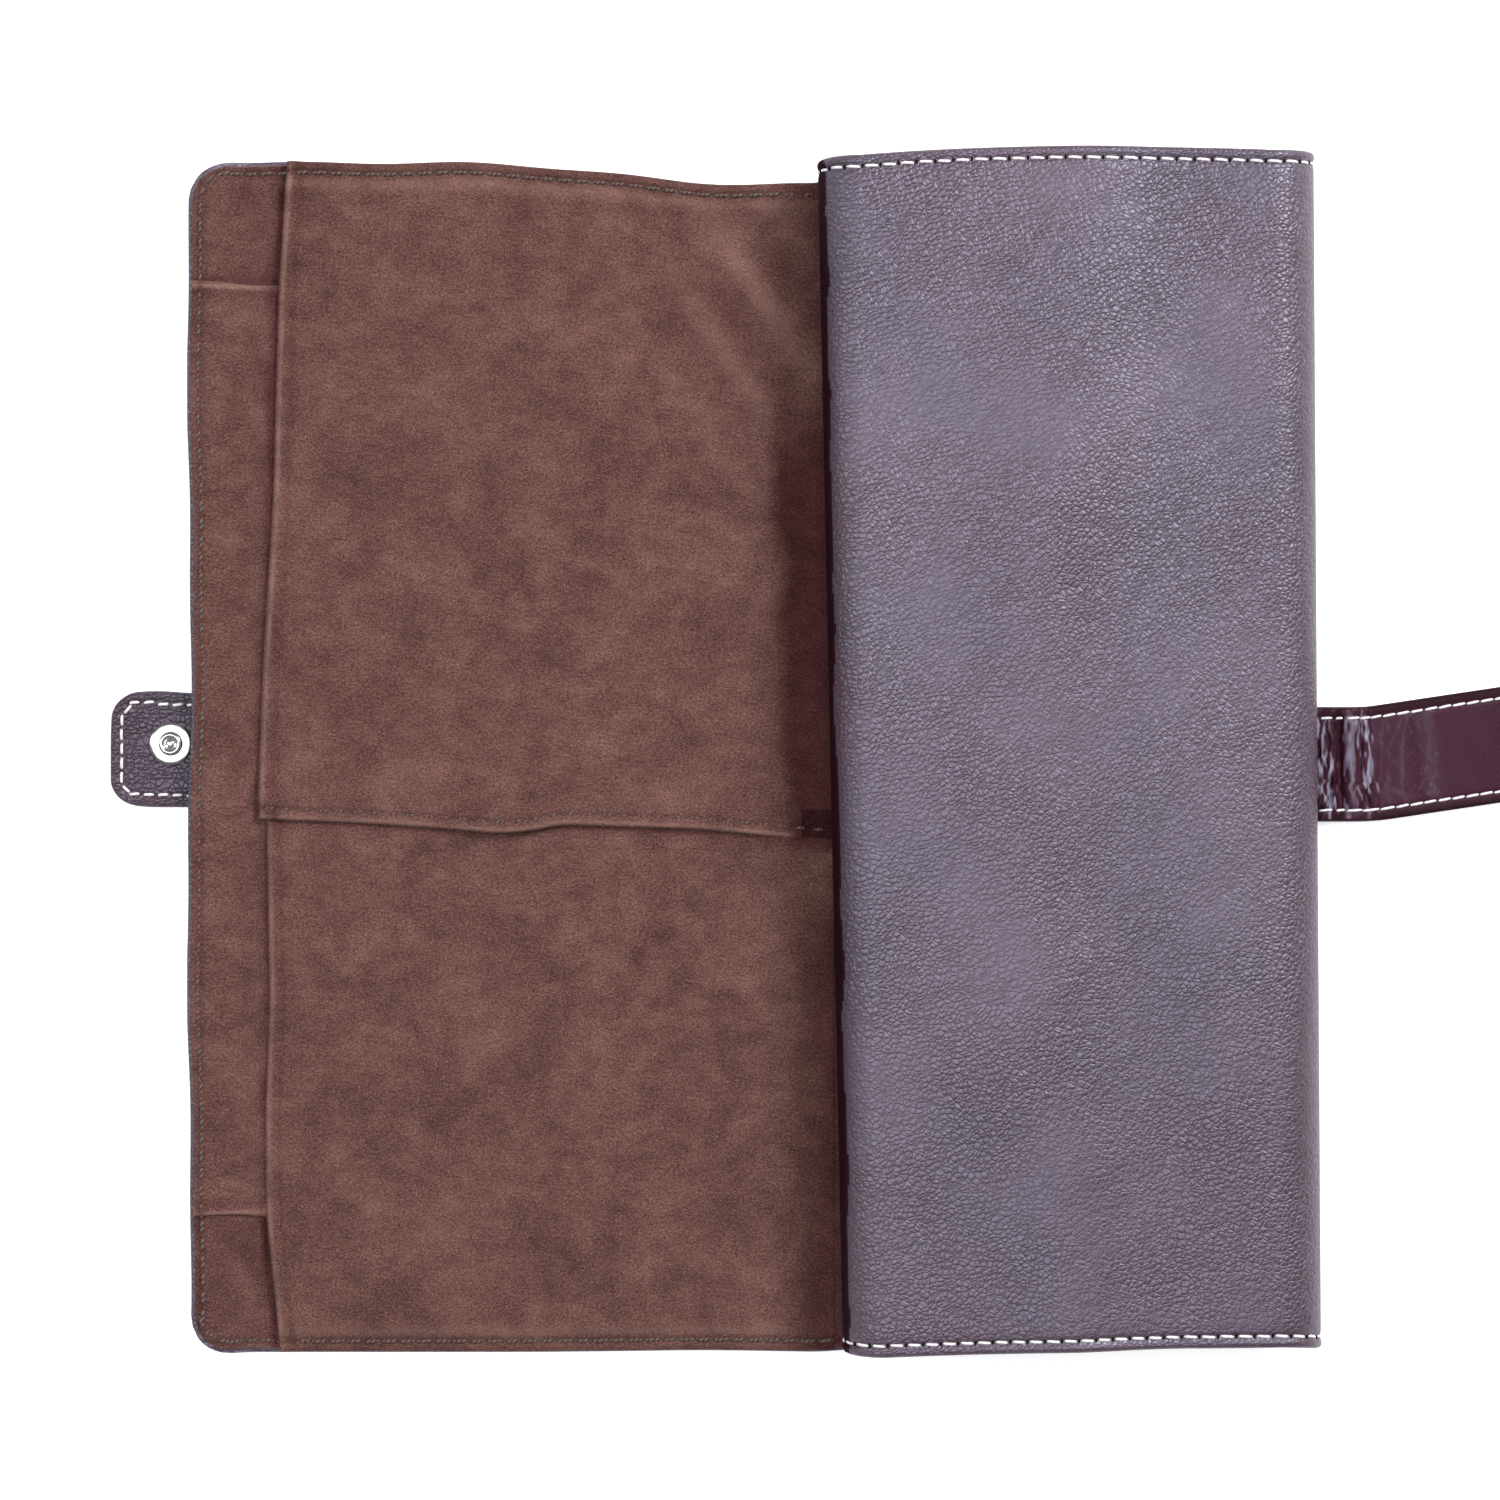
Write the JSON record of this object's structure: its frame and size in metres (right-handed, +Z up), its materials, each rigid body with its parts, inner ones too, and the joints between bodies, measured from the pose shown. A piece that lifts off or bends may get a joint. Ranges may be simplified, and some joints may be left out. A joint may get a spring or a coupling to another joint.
{
  "type": "watch roll",
  "caption": "Soft leather watch roll, half rolled: open suede-lined panel with folding flaps, flat leather roll beside it, closing strap with snap and a snap tab.",
  "frame": {"origin": "Centre of the bounding box at table level, under the middle of the half rolled object.", "axes": "X across the roll, from the snap tab to the strap; Y along the fold lines; Z up, away from the table."},
  "size_m": [0.3642, 0.286, 0.0273],
  "materials": {
    "leather": "pebbled aubergine leather with a soft grey sheen",
    "strap_leather": "smooth glossy dark burgundy leather, creased",
    "suede": "brown microsuede with a short mottled nap",
    "padding": "thin felt padding",
    "elastic": "dark brown woven elastic band",
    "white_thread": "cream waxed thread",
    "dark_thread": "dark brown thread",
    "metal": "bright nickel plated snap"
  },
  "bodies": {
    "panel": {"leather_panel": "leather", "padding_panel": "padding", "lining_panel": "suede", "panel_thread": "dark_thread", "watch_bands": "elastic", "upper_flap_sewn": "suede", "lower_flap_sewn": "suede", "tab_back": "strap_leather", "tab_front": "leather", "tab_thread": "white_thread", "snap_stud": "metal", "stud_cap": "metal"},
    "upper_corner": {"upper_flap_corner": "suede", "hem_thread": "dark_thread"},
    "lower_corner": {"lower_flap_corner": "suede"},
    "end_flap": {"end_flap": "suede"},
    "close_strip_1": {"close_fold_1": "leather"},
    "close_strip_2": {"close_fold_2": "leather"},
    "close_strip_3": {"close_fold_3": "leather"},
    "roll_base": {"leather_base": "leather", "padding_base": "padding", "lining_base": "suede", "strap_patch": "strap_leather", "strap_back_root": "strap_leather", "strap_front_root": "strap_leather"},
    "right_strip_1": {"right_fold_1": "leather"},
    "right_strip_2": {"right_fold_2": "leather"},
    "right_strip_3": {"right_fold_3": "leather"},
    "roll_top": {"leather_top": "leather", "padding_top": "padding", "lining_top": "suede", "top_thread": "white_thread"},
    "left_strip_1": {"left_fold_1": "leather"},
    "left_strip_2": {"left_fold_2": "leather"},
    "left_strip_3": {"left_fold_3": "leather"},
    "roll_tail": {"leather_tail": "leather", "padding_tail": "padding", "lining_tail": "suede"},
    "strap_bend": {"strap_back_bend": "strap_leather", "strap_front_bend": "strap_leather", "strap_thread_bend": "white_thread"},
    "strap_middle": {"strap_back_turn": "strap_leather", "strap_front_turn": "strap_leather", "strap_thread_turn": "white_thread"},
    "strap_end": {"strap_back_end": "strap_leather", "strap_front_end": "strap_leather", "strap_thread_end": "white_thread", "snap_socket": "metal", "socket_cap": "metal"}
  },
  "joints": [
    {"name": "close_1", "type": "hinge", "parent": "panel", "child": "close_strip_1", "pos_m": [-0.04159, 0.0015, 0.00065], "axis": [0, -1, 0], "range_deg": [0, 44]},
    {"name": "close_2", "type": "hinge", "parent": "close_strip_1", "child": "close_strip_2", "pos_m": [-0.02999, 0.0015, 0.00198], "axis": [0, -1, 0], "range_deg": [0, 44]},
    {"name": "close_3", "type": "hinge", "parent": "close_strip_2", "child": "close_strip_3", "pos_m": [-0.01839, 0.0015, 0.00332], "axis": [0, -1, 0], "range_deg": [0, 44]},
    {"name": "close_4", "type": "hinge", "parent": "close_strip_3", "child": "roll_base", "pos_m": [-0.00679, 0.0015, 0.00465], "axis": [0, -1, 0], "range_deg": [0, 44]},
    {"name": "unroll_1", "type": "hinge", "parent": "roll_base", "child": "right_strip_1", "pos_m": [0.09871, 0.0015, 0.00465], "axis": [0, -1, 0], "range_deg": [-44.4, 0]},
    {"name": "unroll_2", "type": "hinge", "parent": "right_strip_1", "child": "right_strip_2", "pos_m": [0.10506, 0.0015, 0.01101], "axis": [0, -1, 0], "range_deg": [-44.4, 0]},
    {"name": "unroll_3", "type": "hinge", "parent": "right_strip_2", "child": "right_strip_3", "pos_m": [0.10506, 0.0015, 0.01999], "axis": [0, -1, 0], "range_deg": [-44.4, 0]},
    {"name": "unroll_4", "type": "hinge", "parent": "right_strip_3", "child": "roll_top", "pos_m": [0.09871, 0.0015, 0.02635], "axis": [0, -1, 0], "range_deg": [-44.4, 0]},
    {"name": "unroll_5", "type": "hinge", "parent": "roll_top", "child": "left_strip_1", "pos_m": [-0.00339, 0.0015, 0.02635], "axis": [0, -1, 0], "range_deg": [-44.4, 0]},
    {"name": "unroll_6", "type": "hinge", "parent": "left_strip_1", "child": "left_strip_2", "pos_m": [-0.00864, 0.0015, 0.02111], "axis": [0, -1, 0], "range_deg": [-44.4, 0]},
    {"name": "unroll_7", "type": "hinge", "parent": "left_strip_2", "child": "left_strip_3", "pos_m": [-0.00864, 0.0015, 0.01369], "axis": [0, -1, 0], "range_deg": [-44.4, 0]},
    {"name": "unroll_8", "type": "hinge", "parent": "left_strip_3", "child": "roll_tail", "pos_m": [-0.00339, 0.0015, 0.00845], "axis": [0, -1, 0], "range_deg": [-44.4, 0]},
    {"name": "upper_flap_fold", "type": "hinge", "parent": "panel", "child": "upper_corner", "pos_m": [-0.09189, 0.05945, 0.00582], "axis": [0.5274, -0.8496, 0], "range_deg": [-165, 0]},
    {"name": "lower_flap_fold", "type": "hinge", "parent": "panel", "child": "lower_corner", "pos_m": [-0.09784, -0.07525, 0.00502], "axis": [-0.5733, -0.8193, 0], "range_deg": [-165, 0]},
    {"name": "end_flap_lift", "type": "hinge", "parent": "panel", "child": "end_flap", "pos_m": [-0.15879, 0.0015, 0.00685], "axis": [0, 1, 0], "range_deg": [-69.3, 0]},
    {"name": "strap_wrap", "type": "hinge", "parent": "roll_base", "child": "strap_bend", "pos_m": [0.10831, -0.00194, 0.0022], "axis": [0, -1, 0], "range_deg": [0, 75]},
    {"name": "strap_turn", "type": "hinge", "parent": "strap_bend", "child": "strap_middle", "pos_m": [0.12081, -0.00194, 0.0011], "axis": [0, 0, 1], "range_deg": [-8.5, 0]},
    {"name": "strap_flatten", "type": "hinge", "parent": "strap_middle", "child": "strap_end", "pos_m": [0.13191, -0.00028, 0], "axis": [0.1478, -0.989, 0], "range_deg": [-75, 0]}
  ],
  "couplings": [
    {"joint": "close_2", "follows": "close_1", "ratio": 1},
    {"joint": "close_3", "follows": "close_1", "ratio": 1},
    {"joint": "close_4", "follows": "close_1", "ratio": 1},
    {"joint": "unroll_2", "follows": "unroll_1", "ratio": 1},
    {"joint": "unroll_3", "follows": "unroll_1", "ratio": 1},
    {"joint": "unroll_4", "follows": "unroll_1", "ratio": 1},
    {"joint": "unroll_5", "follows": "unroll_1", "ratio": 1},
    {"joint": "unroll_6", "follows": "unroll_1", "ratio": 1},
    {"joint": "unroll_7", "follows": "unroll_1", "ratio": 1},
    {"joint": "unroll_8", "follows": "unroll_1", "ratio": 1},
    {"joint": "lower_flap_fold", "follows": "upper_flap_fold", "ratio": 1},
    {"joint": "end_flap_lift", "follows": "upper_flap_fold", "ratio": 0.42},
    {"joint": "strap_flatten", "follows": "strap_wrap", "ratio": -1}
  ]
}
